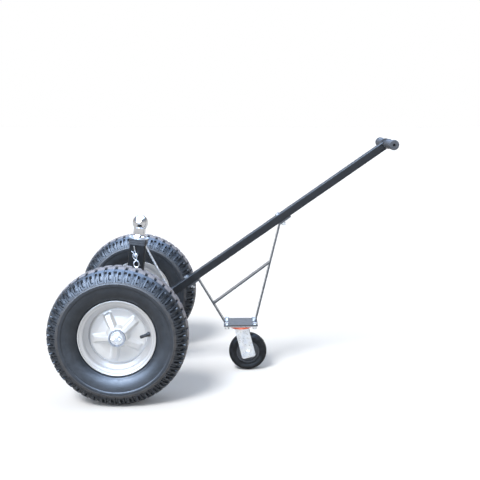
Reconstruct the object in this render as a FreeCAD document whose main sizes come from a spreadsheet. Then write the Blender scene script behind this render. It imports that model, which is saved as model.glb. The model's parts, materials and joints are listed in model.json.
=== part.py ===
import FreeCAD, Part
import math
import os
import Sketcher

# Manual trailer dolly.  Millimetres.  The origin is on the floor under the middle of the overall
# box, +X runs toward the handle, +Y across to the left wheel, +Z up.

SIZES = {
    "half_length": 531.0,
    "wheel_radius": 208.5,
    "wheel_y": 270.0,
    "tongue_angle": 35.0,
    "mast_lean": 7.0,
    # axle
    "axle_side": 38.1,
    "axle_wall": 3.0,
    "axle_half": 197.0,
    "spindle_radius": 8.0,
    "spindle_thread": 6.35,
    "spindle_shoulder": 12.0,
    "race_gap": 0.03,
    # tyre and rim
    "tread_radius": 205.6,
    "tread_half": 28.0,
    "crown_arc": 136.62,
    "shoulder_radius": 172.0,
    "shoulder_half": 58.7,
    "shoulder_arc": 42.7,
    "side_arc": 59.5,
    "seat_radius": 101.0,
    "lip_radius": 115.0,
    "rim_half": 31.75,
    "lip_half": 38.5,
    "well_radius": 89.0,
    "well_half": 11.0,
    "rim_wall": 2.5,
    "groove_y": 5.0,
    "groove_width": 3.0,
    "groove_depth": 5.0,
    # wheel disc, hub and bearings
    "disc_wall": 3.0,
    "spoke_width": 26.0,
    "hub_radius": 25.0,
    "hub_bore": 17.5,
    "hub_mouth": 21.8,
    "hub_out": 38.0,
    "hub_in": 42.0,
    "bearing_radius": 20.0,
    "bearing_width": 12.0,
    "ball_radius": 3.0,
    "ball_pitch": 14.5,
    # valve
    "valve_radius": 4.8,
    "valve_length": 24.0,
    "valve_turn": 5.0,
    # mast, post and hitch ball
    "mast_side": 50.8,
    "mast_wall": 3.2,
    "mast_foot_x": 5.0,
    "mast_top": 240.0,
    "collar_side": 57.0,
    "collar_height": 16.0,
    "post_gap": 0.3,
    "post_wall": 3.0,
    "post_step": 20.0,
    "post_holes": 7.0,
    "post_tail": 15.0,
    "plate_radius": 31.5,
    "plate_height": 3.0,
    "neck_radius": 19.5,
    "neck_height": 32.0,
    "hitch_radius": 25.4,
    "shank_radius": 9.5,
    # hitch pin and clip
    "pin_height": 193.0,
    "pin_radius": 6.0,
    "pin_gap": 0.05,
    "pin_near": 41.0,
    "pin_far": 25.9,
    "clip_wire": 1.6,
    "clip_y": 33.5,
    "clip_lean": 12.0,
    # tongue, handle and brace
    "tongue_side": 25.4,
    "tongue_wall": 2.0,
    "tongue_start": -30.0,
    "tongue_end": 989.0,
    "bar_radius": 11.0,
    "bar_half": 98.0,
    "grip_radius": 15.8,
    "grip_start": 22.0,
    "grip_end": 103.0,
    "brace_radius": 4.0,
    "gusset": 5.0,
    "tube_corner": 3.5,
    # caster frame
    "strap_width": 26.0,
    "strap": 5.0,
    "rear_bolt": 217.4,
    "front_bolt": 582.0,
    "rear_bend": 247.0,
    "front_bend": 571.0,
    "foot": 44.0,
    "platform_top": 165.0,
    "platform_wall": 5.0,
    "caster_x": 367.5,
    "rear_foot_x": 320.0,
    "front_foot_x": 414.0,
    "platform_length": 112.0,
    "platform_width": 84.0,
    "hole_x": 92.0,
    "hole_y": 62.0,
    # caster
    "caster_plate_wall": 3.0,
    "caster_plate_length": 106.0,
    "caster_plate_width": 80.0,
    "caster_radius": 63.5,
    "caster_half": 19.0,
    "caster_trail": 24.3,
    "fork_top": 149.0,
    "fork_wall": 4.0,
    "fork_inner": 23.0,
    "fork_end": 16.5,
    "cheek_half": 23.0,
    "ring_radius": 38.0,
    "king_radius": 6.0,
    "caster_axle": 5.0,
    "bush_radius": 7.5,
}

doc = FreeCAD.newDocument("trailer_dolly")
sheet = doc.addObject("Spreadsheet::Sheet", "sizes")
for row, (alias, number) in enumerate(SIZES.items(), start=1):
    sheet.set("A%d" % row, str(number))
    sheet.setAlias("A%d" % row, alias)
doc.recompute()


class Size:
    """A number together with the spreadsheet formula that gives it."""

    def __init__(self, value, text=None):
        self.value = float(value)
        self.text = text if text is not None else "%.6f" % self.value

    def _join(self, other, sign, value):
        other = size(other)
        return Size(value(self.value, other.value), "(%s %s %s)" % (self.text, sign, other.text))

    def __add__(self, other):
        return self._join(other, "+", lambda a, b: a + b)

    def __sub__(self, other):
        return self._join(other, "-", lambda a, b: a - b)

    def __mul__(self, other):
        return self._join(other, "*", lambda a, b: a * b)

    def __truediv__(self, other):
        return self._join(other, "/", lambda a, b: a / b)

    def __radd__(self, other):
        return size(other) + self

    def __rsub__(self, other):
        return size(other) - self

    def __rmul__(self, other):
        return size(other) * self

    def __neg__(self):
        return Size(-self.value, "(0 - %s)" % self.text)


def size(thing):
    return thing if isinstance(thing, Size) else Size(thing)


def cell(alias):
    return Size(sheet.get(alias), "sizes." + alias)


def sine(angle):
    angle = size(angle)
    return Size(math.sin(math.radians(angle.value)), "sin(%s)" % angle.text)


def cosine(angle):
    angle = size(angle)
    return Size(math.cos(math.radians(angle.value)), "cos(%s)" % angle.text)


X = FreeCAD.Vector(1, 0, 0)
Y = FreeCAD.Vector(0, 1, 0)
Z = FreeCAD.Vector(0, 0, 1)
PARTS = []


def bind(thing, prop, value):
    """Gives a property its number and ties it to the spreadsheet."""
    value = size(value)
    thing.setExpression(prop, value.text)


def place(thing, x=0, y=0, z=0, axis=Z, angle=0):
    thing.Placement = FreeCAD.Placement(FreeCAD.Vector(0, 0, 0), FreeCAD.Rotation(axis, 0))
    angle = size(angle)
    rotation = FreeCAD.Rotation(axis, angle.value)
    base = FreeCAD.Vector(size(x).value, size(y).value, size(z).value)
    thing.Placement = FreeCAD.Placement(base, rotation)
    for name, value in (("x", x), ("y", y), ("z", z)):
        bind(thing, "Placement.Base." + name, value)
    return thing


def box(length, width, height, x=0, y=0, z=0):
    """A block centred on x and y, standing on z."""
    block = doc.addObject("Part::Box", "block")
    bind(block, "Length", length)
    bind(block, "Width", width)
    bind(block, "Height", height)
    return place(block, size(x) - size(length) / 2, size(y) - size(width) / 2, z)


def rod(radius, length, x=0, y=0, z=0, axis=Z, angle=0):
    cylinder = doc.addObject("Part::Cylinder", "rod")
    bind(cylinder, "Radius", radius)
    bind(cylinder, "Height", length)
    return place(cylinder, x, y, z, axis, angle)


def cross_rod(radius, start, end, x=0, z=0):
    """A cylinder along Y between two y values."""
    return rod(radius, size(end) - size(start), x, end, z, X, 90)


def ball(radius, x=0, y=0, z=0):
    sphere = doc.addObject("Part::Sphere", "ball")
    bind(sphere, "Radius", radius)
    return place(sphere, x, y, z)


def hexagon(flat, height, x=0, y=0, z=0, axis=Z, angle=0):
    prism = doc.addObject("Part::Prism", "hexagon")
    prism.Polygon = 6
    bind(prism, "Circumradius", size(flat) / math.sqrt(3))
    bind(prism, "Height", height)
    return place(prism, x, y, z, axis, angle)


def fuse(*things):
    joined = doc.addObject("Part::MultiFuse", "joined")
    joined.Shapes = list(things)
    return joined


def cut(base, *tools):
    removed = tools[0] if len(tools) == 1 else fuse(*tools)
    result = doc.addObject("Part::Cut", "cut")
    result.Base = base
    result.Tool = removed
    return result


def rounded(thing, radius, axis=Z):
    """Rounds the straight edges that run along an axis."""
    doc.recompute()
    numbers = []
    for number, edge in enumerate(thing.Shape.Edges, start=1):
        straight = isinstance(edge.Curve, Part.Line)
        if straight and abs(edge.tangentAt(edge.FirstParameter).dot(axis)) > 0.999:
            numbers.append((number, size(radius).value, size(radius).value))
    feature = doc.addObject("Part::Fillet", "rounded")
    feature.Base = thing
    feature.Edges = numbers
    return feature


def group(things):
    bundle = doc.addObject("Part::Compound", "group")
    bundle.Links = list(things)
    return bundle


def holder(thing):
    """Wraps a shape so that it can be given a placement of its own."""
    return group([thing])


def plane_of(body, role):
    return [item for item in body.Origin.OriginFeatures if item.Role == role][0]


def outline(body, plane, points):
    """A closed sketch.  A point is (across, up) or (across, up, radius, turn): the last two make
    the line that leaves it an arc, bulging left of the direction of travel when turn is 1."""
    sketch = body.newObject("Sketcher::SketchObject", "outline")
    sketch.AttachmentSupport = [(plane_of(body, plane), "")]
    sketch.MapMode = "FlatFace"
    spots = [FreeCAD.Vector(size(p[0]).value, size(p[1]).value, 0) for p in points]
    ends = []
    for index, point in enumerate(points):
        here, there = spots[index], spots[(index + 1) % len(spots)]
        if len(point) == 2:
            sketch.addGeometry(Part.LineSegment(here, there), False)
            ends.append((1, 2))
            continue
        radius, turn = size(point[2]).value, point[3]
        half = (there - here) * 0.5
        side = FreeCAD.Vector(-half.y, half.x, 0).normalize() * turn
        centre = here + half - side * math.sqrt(radius ** 2 - half.Length ** 2)
        first, last = (there, here) if turn == 1 else (here, there)
        angles = [math.atan2(spot.y - centre.y, spot.x - centre.x) for spot in (first, last)]
        if angles[1] < angles[0]:
            angles[1] += 2 * math.pi
        sketch.addGeometry(Part.ArcOfCircle(Part.Circle(centre, Z, radius), *angles), False)
        ends.append((2, 1) if turn == 1 else (1, 2))
    count = len(points)
    for index in range(count):
        after = (index + 1) % count
        sketch.addConstraint(
            Sketcher.Constraint("Coincident", index, ends[index][1], after, ends[after][0])
        )
    for index, point in enumerate(points):
        for kind, value in (("DistanceX", point[0]), ("DistanceY", point[1])):
            value = size(value)
            number = sketch.addConstraint(
                Sketcher.Constraint(kind, -1, 1, index, ends[index][0], value.value)
            )
            if value.text.count("sizes."):
                sketch.setExpression("Constraints[%d]" % number, value.text)
        if len(point) == 4:
            radius = size(point[2])
            number = sketch.addConstraint(Sketcher.Constraint("Radius", index, radius.value))
            sketch.setExpression("Constraints[%d]" % number, radius.text)
    return sketch


def turned(points, plane="YZ_Plane", axis="H_Axis"):
    """A body turned about the Y axis from an outline of (y, radius) points."""
    body = doc.addObject("PartDesign::Body", "turned")
    sketch = outline(body, plane, points)
    feature = body.newObject("PartDesign::Revolution", "turn")
    feature.Profile = sketch
    feature.ReferenceAxis = (sketch, [axis])
    feature.Angle = 360.0
    body.Tip = feature
    return body


def upright(points):
    """A body turned about the Z axis from an outline of (radius, z) points."""
    return turned(points, "XZ_Plane", "V_Axis")


def padded(points, width, plane="XZ_Plane"):
    """A flat piece of the outline (x, z), centred on y = 0."""
    body = doc.addObject("PartDesign::Body", "padded")
    sketch = outline(body, plane, points)
    feature = body.newObject("PartDesign::Pad", "pad")
    feature.Profile = sketch
    feature.SideType = "Symmetric"
    bind(feature, "Length", width)
    body.Tip = feature
    return body


def keep(label, thing, placement=None):
    """Names a finished sub-part and puts it where it belongs."""
    if placement is not None:
        thing = holder(thing)
        thing.Placement = placement
    thing.Label = label
    PARTS.append(thing)
    return thing


def frame_at(x, y, z, axis=Z, angle=0):
    spot = FreeCAD.Vector(size(x).value, size(y).value, size(z).value)
    return FreeCAD.Placement(spot, FreeCAD.Rotation(axis, size(angle).value))


# Reference frames -----------------------------------------------------------------------------

lean = cell("tongue_angle")
axle_x = cell("wheel_radius") - cell("half_length")
axle_z = cell("wheel_radius")
tongue_drop = (cell("axle_side") + cell("tongue_side")) / 2
AXLE = frame_at(axle_x, 0, axle_z)
TONGUE = frame_at(
    axle_x + tongue_drop * sine(lean), 0, axle_z - tongue_drop * cosine(lean), Y, -lean
)
MAST = frame_at(axle_x + cell("mast_foot_x"), 0, axle_z, Y, cell("mast_lean"))
PIN = frame_at(MAST.multVec(FreeCAD.Vector(0, 0, cell("pin_height").value)).x, 0,
               MAST.multVec(FreeCAD.Vector(0, 0, cell("pin_height").value)).z)
RIGHT = frame_at(axle_x, -cell("wheel_y"), axle_z)
LEFT = frame_at(axle_x, cell("wheel_y"), axle_z, Z, 180)
CASTER = frame_at(axle_x + cell("caster_x"), 0, 0)


def square_tube(side, wall, length):
    """A square tube with rounded outer corners, standing on z = 0."""
    bore = size(side) - size(wall) * 2
    outer = rounded(box(side, side, length), cell("tube_corner"))
    return cut(outer, box(bore, bore, size(length) + 2, z=-1))


# Axle -----------------------------------------------------------------------------------------


def axle():
    side, wall, half = cell("axle_side"), cell("axle_wall"), cell("axle_half")
    bore = side - wall * 2
    outer = rounded(box(side, half * 2, side, z=-side / 2), cell("tube_corner"), Y)
    inner = box(bore, half * 2 + 2, bore, z=-bore / 2)
    keep("axle_bar", cut(outer, inner), AXLE.multiply(frame_at(0, 0, 0, Y, -lean)))


def spindle_outline():
    """Plug inside the axle bar, shoulder, bearing seat and threaded end, along y."""
    start = cell("wheel_y") - cell("axle_half")
    plug = (cell("axle_side") - cell("axle_wall") * 2) / 2
    race = cell("hub_in") - 4
    nose = cell("hub_out") - 4
    seat, thread = cell("spindle_radius"), cell("spindle_thread")
    return [
        (start + 40, 0),
        (start + 40, plug),
        (start, plug),
        (start, cell("spindle_shoulder")),
        (race, cell("spindle_shoulder")),
        (race, seat),
        (-nose, seat),
        (-nose, thread),
        (-nose - 13, thread),
        (-nose - 13, 0),
    ]


def spindles():
    for label, frame in (("spindle_right", RIGHT), ("spindle_left", LEFT)):
        drilled = cut(turned(spindle_outline()), rod(1.7, 30, -15, -cell("hub_out") - 7, 0, Y, 90))
        keep(label, drilled, frame)


def ring(outer, inner, start, end):
    """A plain ring about the Y axis between two y values."""
    return turned([(start, inner), (start, outer), (end, outer), (end, inner)])


def both_sides(label, maker):
    """One node holding the same solids on the right and on the left wheel."""
    bundles = []
    for frame in (RIGHT, LEFT):
        for piece in maker():
            moved = holder(piece)
            moved.Placement = frame
            bundles.append(moved)
    keep(label, group(bundles))


def bearing_spans():
    """The outer and the inner bearing of a wheel as (start, end) along y."""
    width = cell("bearing_width")
    outer_end = -(cell("hub_out") - 4)
    inner_end = cell("hub_in") - 4
    return ((outer_end, outer_end + width), (inner_end - width, inner_end))


def axle_fasteners():
    nose = cell("hub_out") - 4
    seat = cell("spindle_radius")
    inner_race = cell("ball_pitch") - cell("ball_radius") - 0.1

    def washers():
        return [ring(19.5, cell("spindle_thread"), -nose - 2, -nose)]

    def nuts():
        nut = hexagon(19, 6.5, 0, -nose - 2, 0, X, 90)
        return [cut(nut, cross_rod(cell("spindle_thread"), -nose - 10, -nose))]

    def pins():
        y = -cell("hub_out") - 7
        shank = rod(1.6, 24, -12, y, 0, Y, 90)
        eye = rod(3.0, 3.0, -13.5, y, -1.5)
        return [fuse(shank, cut(eye, rod(1.3, 5, -14.5, y, -2.5)))]

    def races():
        return [ring(inner_race, seat, start, end) for start, end in bearing_spans()]

    both_sides("spindle_washers", washers)
    both_sides("spindle_nuts", nuts)
    both_sides("cotter_pins", pins)
    both_sides("inner_races", races)


# Road wheels ----------------------------------------------------------------------------------


def tyre(label, frame):
    tread, half = cell("tread_radius"), cell("tread_half")
    shoulder, wide = cell("shoulder_radius"), cell("shoulder_half")
    seat, rim = cell("seat_radius"), cell("rim_half")
    lip = cell("lip_radius")
    body = turned([
        (-rim, seat),
        (-rim, lip + 0.4),
        (-cell("lip_half") + 0.5, lip + 0.6, cell("side_arc"), 1),
        (-wide, shoulder, cell("shoulder_arc"), 1),
        (-half, tread, cell("crown_arc"), 1),
        (half, tread, cell("shoulder_arc"), 1),
        (wide, shoulder, cell("side_arc"), 1),
        (cell("lip_half") - 0.5, lip + 0.6),
        (rim, lip + 0.4),
        (rim, seat),
        (rim - 8, seat),
        (rim - 7, lip - 2, cell("side_arc"), -1),
        (wide - 9, shoulder),
        (half - 7, tread - 9),
        (-half + 7, tread - 9),
        (-wide + 9, shoulder, cell("side_arc"), -1),
        (-rim + 7, lip - 2),
        (-rim + 8, seat),
    ])
    width, deep = cell("groove_width"), cell("groove_depth")
    grooves = []
    for side in (-1, 1):
        near = cell("groove_y") * side - width / 2
        depth = cell("wheel_radius") - 1 - deep
        grooves.append(ring(cell("wheel_radius") + 5, depth, near, near + width))
    keep(label, cut(body, *grooves), frame)


def rim_outline():
    seat, lip, rim = cell("seat_radius"), cell("lip_radius"), cell("rim_half")
    well, flat, wall = cell("well_radius"), cell("well_half"), cell("rim_wall")
    tip = cell("lip_half")
    slope = seat - well
    diagonal = wall * (math.sqrt(2) - 1)
    half = [
        (flat, well),
        (flat + slope, seat),
        (rim, seat),
        (rim, lip),
        (tip, lip),
        (tip, lip - 5),
        (tip - 1.8, lip - 5),
        (tip - 1.8, lip - wall),
        (rim + wall, lip - wall),
        (rim + wall, seat - wall),
        (flat + slope + diagonal, seat - wall),
        (flat + diagonal, well - wall),
    ]
    mirrored = [(-y, radius) for y, radius in reversed(half)]
    return half + mirrored


def valve_frame():
    """The seat of the valve: +Z leaves the slope between the well and the outer bead seat."""
    middle = cell("well_half").value + 6
    height = cell("well_radius").value + 6
    slant = FreeCAD.Rotation(Z, FreeCAD.Vector(-1, -1, 0))
    turn = FreeCAD.Placement(FreeCAD.Vector(0, 0, 0), FreeCAD.Rotation(Y, -cell("valve_turn").value))
    return turn.multiply(FreeCAD.Placement(FreeCAD.Vector(height, -middle, 0), slant))


def rim(label, frame):
    hole = holder(rod(5.7, 20, 0, 0, -8))
    hole.Placement = valve_frame()
    keep(label, cut(turned(rim_outline()), hole), frame)


def disc(label, frame):
    inner = cell("well_radius") - cell("rim_wall")
    wall, hub = cell("disc_wall"), cell("hub_radius")
    plate = turned([
        (2, inner), (-1, inner), (-5, inner - 6), (-6, 60), (-14, hub - 2),
        (-14 + wall, hub - 2), (-6 + wall, 60), (-5 + wall, inner - 7), (0, inner - wall),
        (2, inner - wall),
    ])
    spokes = []
    for index in range(5):
        spoke = padded(
            [(hub - 4, -12), (hub - 4, -27), (38, -26), (78, -7.5), (78, -4), (60, -4)],
            cell("spoke_width"), "XY_Plane",
        )
        turn = FreeCAD.Rotation(Y, -(43 + 72 * index))
        moved = holder(spoke)
        moved.Placement = FreeCAD.Placement(FreeCAD.Vector(0, 0, 0), turn)
        spokes.append(moved)
    bore = cross_rod(hub, -60, 60)
    keep(label, cut(fuse(plate, *spokes), bore), frame)


def hub(label, frame):
    outer, seat, bore = cell("hub_radius"), cell("bearing_radius"), cell("hub_bore")
    out, into, width = cell("hub_out"), cell("hub_in"), cell("bearing_width")
    keep(label, turned([
        (-out, cell("hub_mouth")), (-out, outer), (into, outer), (into, cell("hub_mouth")),
        (into - 4, cell("hub_mouth")), (into - 4, seat), (into - 4 - width, seat),
        (into - 4 - width, bore), (-out + 4 + width, bore), (-out + 4 + width, seat),
        (-out + 4, seat), (-out + 4, cell("hub_mouth")),
    ]), frame)


def bearings(side, frame):
    inside = cell("ball_pitch") + cell("ball_radius") + 0.1
    races = []
    balls = []
    for start, end in bearing_spans():
        races.append(ring(cell("bearing_radius"), inside, start + 0.3, end - 0.3))
        middle = (start + end) / 2
        for index in range(9):
            angle = 40 * index
            spot = cell("ball_pitch")
            balls.append(ball(cell("ball_radius"), spot * cosine(angle), middle, spot * sine(angle)))
    keep("outer_races_" + side, group(races), frame)
    keep("bearing_balls_" + side, group(balls), frame)


def valve(side, frame):
    """Rubber snap-in valve: it passes through the rim and slants toward the outer side."""
    radius, length, wall = cell("valve_radius"), cell("valve_length"), cell("rim_wall")
    stem = upright([
        (0, -2.5), (7.5, -2.5), (7.5, -0.3), (5.7, -0.3), (5.7, wall + 0.3), (7.2, wall + 0.3),
        (6.2, wall + 6), (radius + 0.6, wall + 9), (radius, length - 3), (3.2, length), (0, length),
    ])
    cap = cut(rod(radius, 10, 0, 0, length), rod(2.4, 7, 0, 0, length))
    tip = rod(2.4, 7, 0, 0, length)
    keep("valve_stem_" + side, fuse(stem, tip), frame.multiply(valve_frame()))
    keep("valve_cap_" + side, cap, frame.multiply(valve_frame()))


def wheels():
    for side, frame in (("right", RIGHT), ("left", LEFT)):
        tyre("tyre_" + side, frame)
        rim("rim_" + side, frame)
        disc("wheel_disc_" + side, frame)
        hub("hub_" + side, frame)
        bearings(side, frame)
        valve(side, frame)


# Mast, post and hitch ball --------------------------------------------------------------------


def axle_block(extra=0):
    """The space taken by the axle bar, turned parallel to the tongue."""
    side = cell("axle_side") + extra
    block = holder(box(side, 400, side, z=-side / 2))
    block.Placement = AXLE.multiply(frame_at(0, 0, 0, Y, -lean))
    return block


def tongue_block():
    side = cell("tongue_side")
    block = holder(box(1200, side, side, 400, 0, -side / 2))
    block.Placement = TONGUE
    return block


def mast():
    side, wall, top = cell("mast_side"), cell("mast_wall"), cell("mast_top")
    tube = square_tube(side, wall, top)
    pin = cross_rod(cell("pin_radius") + cell("pin_gap"), -30, 30, 0, cell("pin_height"))
    raised = holder(cut(tube, pin))
    raised.Placement = MAST
    keep("mast_tube", cut(raised, axle_block(), tongue_block()))


def collar():
    """A guide collar round the mast head, with three ribs and a lip over the tube end."""
    top, side, mast_side = cell("mast_top"), cell("collar_side"), cell("mast_side")
    height = cell("collar_height")
    bore = mast_side - cell("mast_wall") * 2
    blocks = [rounded(box(side - 4, side - 4, height + 4, z=top - height), 5)]
    for index in range(3):
        blocks.append(rounded(box(side, side, 3.2, z=top - height + 1.5 + 6.8 * index), 6))
    body = cut(
        fuse(*blocks),
        box(mast_side, mast_side, height + 1, z=top - height - 1),
        box(bore, bore, 60, z=top - 20),
    )
    keep("mast_collar", body, MAST)


def gussets():
    """Two side plates that tie the mast to the axle bar."""
    thick, side = cell("gusset"), cell("mast_side")
    for label, sign in (("gusset_right", -1), ("gusset_left", 1)):
        plate = padded([(-44, -4), (42, -4), (42, 22), (26, 80), (-26, 80), (-44, 24)], thick)
        moved = holder(plate)
        moved.Placement = MAST.multiply(frame_at(0, (side / 2 + thick / 2) * sign, 0))
        keep(label, cut(moved, axle_block()))


def post():
    """Sliding post with a row of cross holes one step apart."""
    gap, mast_wall = cell("post_gap"), cell("mast_wall")
    side = cell("mast_side") - mast_wall * 2 - gap * 2
    base = cell("mast_top") + 4
    step, count = cell("post_step"), cell("post_holes")
    low = cell("pin_height") - step * (count - 1) - cell("post_tail")
    tube = holder(square_tube(side, cell("post_wall"), base - low))
    tube.Placement = frame_at(0, 0, low)
    holes = []
    for index in range(int(count.value)):
        height = cell("pin_height") - step * index
        holes.append(cross_rod(cell("pin_radius") + cell("pin_gap"), -30, 30, 0, height))
    keep("post_tube", cut(tube, *holes), MAST)
    bore = side - cell("post_wall") * 2
    plug = cut(box(bore, bore, 28, z=base - 28), rod(cell("shank_radius"), 40, 0, 0, base - 34))
    keep("post_plug", plug, MAST)
    washer = upright([
        (cell("shank_radius"), base), (cell("plate_radius"), base),
        (cell("plate_radius"), base + cell("plate_height")),
        (cell("shank_radius"), base + cell("plate_height")),
    ])
    keep("ball_plate", washer, MAST)
    hitch_ball(base)


def hitch_ball(base):
    foot = base + cell("plate_height")
    neck, radius, shank = cell("neck_radius"), cell("hitch_radius"), cell("shank_radius")
    dip = Size(
        math.sqrt(radius.value ** 2 - neck.value ** 2),
        "sqrt(%s * %s - %s * %s)" % (radius.text, radius.text, neck.text, neck.text),
    )
    centre = foot + cell("neck_height") + dip
    stem = upright([
        (0, base - 24), (shank - 1, base - 24), (shank, base - 23), (shank, foot),
        (25, foot), (25, foot + 4), (neck + 1.5, foot + 7), (neck, foot + 10),
        (neck, foot + cell("neck_height") + 2), (0, foot + cell("neck_height") + 2),
    ])
    flat = box(60, 60, 20, z=centre + radius - 2)
    keep("hitch_ball", fuse(cut(ball(radius, 0, 0, centre), flat), stem), MAST)


# Hitch pin and its clip -----------------------------------------------------------------------


def hitch_pin():
    radius, near, far = cell("pin_radius"), cell("pin_near"), cell("pin_far")
    body = turned([
        (-near, 0), (-near, radius - 1.5), (-near + 1.5, radius), (far, radius),
        (far, radius + 5), (far + 5, radius + 5), (far + 6, radius + 4), (far + 6, 0),
    ])
    cross = rod(cell("clip_wire") + 0.3, 30, 0, -cell("clip_y"), -15)
    turn = frame_at(0, 0, 0, Y, -cell("clip_lean"))
    keep("hitch_pin", cut(body, cross), PIN.multiply(turn))


def clip():
    """Hairpin clip: a straight leg through the pin, a loop below, and a leg bent round the pin."""
    wire, y = cell("clip_wire").value, -cell("clip_y").value
    side = y - 2 * wire - 0.4
    slope = math.tan(math.radians(cell("clip_lean").value))
    straight = [(-slope * height, y, height) for height in (30, 20, 10, 0, -8)]
    loop = [
        (0.6, y, -15), (-5.2, y, -21), (-8.0, y - 0.2, -28), (-6.4, y - 0.8, -35.5),
        (0, y - 1.8, -39.4), (7.4, y - 2.8, -35.5), (9.2, side, -28), (5.8, side, -20.5),
    ]
    hook = [(-1.5, side, -14.5), (-8.4, side, -6.5), (-9.0, side, 1), (-7.2, side, 6),
            (-9.8, side, 10), (-14.4, side, 14)]
    curve = Part.BSplineCurve()
    curve.interpolate([FreeCAD.Vector(*point) for point in straight + loop + hook])
    start = curve.value(curve.FirstParameter)
    direction = curve.tangent(curve.FirstParameter)[0]
    ring_wire = Part.Wire(Part.Circle(start, direction, wire).toShape())
    feature = doc.addObject("Part::Feature", "clip")
    feature.Shape = Part.Wire(curve.toShape()).makePipeShell([ring_wire], True, False)
    keep("pin_clip", feature, PIN)


# Tongue, brace and handle ---------------------------------------------------------------------


def bolt_hole(x, radius=4.1):
    return rod(radius, 80, x, 0, -40)


def tongue():
    side, wall = cell("tongue_side"), cell("tongue_wall")
    start, end = cell("tongue_start"), cell("tongue_end")
    bore = side - wall * 2
    middle = (start + end) / 2
    tube = cut(
        rounded(box(end - start, side, side, middle, 0, -side / 2), 2.5, X),
        box(end - start + 2, bore, bore, middle, 0, -bore / 2),
        bolt_hole(cell("rear_bolt")),
        bolt_hole(cell("front_bolt")),
        cross_rod(2.6, -40, 40, end - 12, 0),
    )
    keep("tongue_tube", tube, TONGUE)
    plug = fuse(
        box(12, bore, bore, start + 6, 0, -bore / 2), box(3, side, side, start - 1.5, 0, -side / 2)
    )
    keep("tongue_end_plug", plug, TONGUE)


def brace():
    """Round rod from the mast head down to the top of the tongue."""
    radius = cell("brace_radius")
    top = FreeCAD.Vector(axle_x.value + 53, 0, 428)
    foot = FreeCAD.Vector(axle_x.value + 136, 0, 266)
    long = holder(rod(radius, (top - foot).Length))
    long.Placement = FreeCAD.Placement(foot, FreeCAD.Rotation(Z, top - foot))
    mast_block = holder(box(cell("mast_side"), 60, 300))
    mast_block.Placement = MAST
    keep("brace_rod", cut(long, mast_block, tongue_block()))


def handle():
    side, wall, end = cell("tongue_side"), cell("tongue_wall"), cell("tongue_end")
    bore = side - wall * 2
    bar_x = handle_x()
    radius, half = cell("bar_radius"), cell("bar_half")
    bar = cut(cross_rod(radius, -half, half), cross_rod(radius - 2, -half - 1, half + 1))
    keep("handle_bar", bar, TONGUE.multiply(frame_at(bar_x, 0, 0)))
    stub = cut(
        box(50, bore, bore, end - 25, 0, -bore / 2),
        cross_rod(2.6, -40, 40, end - 12, 0),
    )
    nose = box(bar_x - end, bore, bore, (bar_x + end) / 2, 0, -bore / 2)
    joined = cut(fuse(stub, nose), cross_rod(radius, -40, 40, bar_x, 0))
    keep("handle_stub", joined, TONGUE)
    screw = fuse(
        cross_rod(2.6, -side / 2, side / 2, end - 12, 0),
        cross_rod(5, -side / 2 - 3, -side / 2, end - 12, 0),
        cross_rod(5, side / 2, side / 2 + 3, end - 12, 0),
    )
    keep("handle_screw", screw, TONGUE)
    start, tip, grip = cell("grip_start"), cell("grip_end"), cell("grip_radius")
    for label, sign in (("grip_right", -1), ("grip_left", 1)):
        points = [
            (start, radius), (start, grip), (start + 4, grip), (start + 4, grip - 1.5),
            (tip - 8, grip - 1.5), (tip - 8, grip), (tip - 2, grip), (tip, grip - 2), (tip, 4.2),
            (half, 4.2), (half, radius),
        ]
        sleeve = turned([(y * sign, r) for y, r in points])
        keep(label, sleeve, TONGUE.multiply(frame_at(bar_x, 0, 0)))


def handle_x():
    """Distance of the handle bar along the tongue."""
    drop = tongue_drop * sine(lean)
    run = cell("half_length") - cell("grip_radius") - axle_x - drop
    return run / cosine(lean)


# Caster frame ---------------------------------------------------------------------------------


def tongue_point(x, z):
    """A point given in the tongue frame, as x and z in the common frame."""
    spot = TONGUE.multVec(FreeCAD.Vector(size(x).value, 0, size(z).value))
    return spot.x, spot.z


def strap_between(start, end):
    """A flat strap whose middle plane runs between two (x, z) points."""
    run = FreeCAD.Vector(end[0] - start[0], 0, end[1] - start[1])
    strap = box(cell("strap"), cell("strap_width"), run.Length)
    moved = holder(strap)
    moved.Placement = FreeCAD.Placement(
        FreeCAD.Vector(start[0], 0, start[1]), FreeCAD.Rotation(Z, run)
    )
    return moved


def leg(label, bend, foot_sign, bolt, foot_x):
    """A strap bent at the tongue: a bolted foot along it and a leg down to the platform."""
    thick, width = cell("strap"), cell("strap_width")
    level = -cell("tongue_side") / 2 - thick / 2
    foot_length = cell("foot")
    foot = box(foot_length, width, thick, bend + foot_length * foot_sign / 2, 0, level - thick / 2)
    knee = cross_rod(thick / 2, -width / 2, width / 2, bend, level)
    upper = holder(cut(fuse(foot, knee), bolt_hole(bolt)))
    upper.Placement = TONGUE
    top = tongue_point(bend, level)
    shank = strap_between(top, (axle_x.value + foot_x.value, cell("platform_top").value - 8))
    floor = box(300, 100, 60, axle_x + foot_x, 0, cell("platform_top") - 60)
    keep(label, cut(fuse(upper, shank), floor))
    return top, (axle_x.value + foot_x.value, cell("platform_top").value - 8)


def along(line, share):
    start, end = line
    return (start[0] + (end[0] - start[0]) * share, start[1] + (end[1] - start[1]) * share)


def caster_frame():
    rear = leg("leg_rear", cell("rear_bend"), -1, cell("rear_bolt"), cell("rear_foot_x"))
    front = leg("leg_front", cell("front_bend"), 1, cell("front_bolt"), cell("front_foot_x"))
    tie = strap_between(along(rear, 0.53), along(front, 0.375))
    blocks = [strap_between(*rear), strap_between(*front)]
    keep("caster_crossbar", cut(tie, *blocks))
    length, width = cell("platform_length"), cell("platform_width")
    top, wall = cell("platform_top"), cell("platform_wall")
    plate = box(length, width, wall, 0, 0, top - wall)
    holes = [rod(4.2, 30, x, y, top - 20) for x, y in plate_holes()]
    keep("platform", cut(plate, *holes), CASTER)


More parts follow.
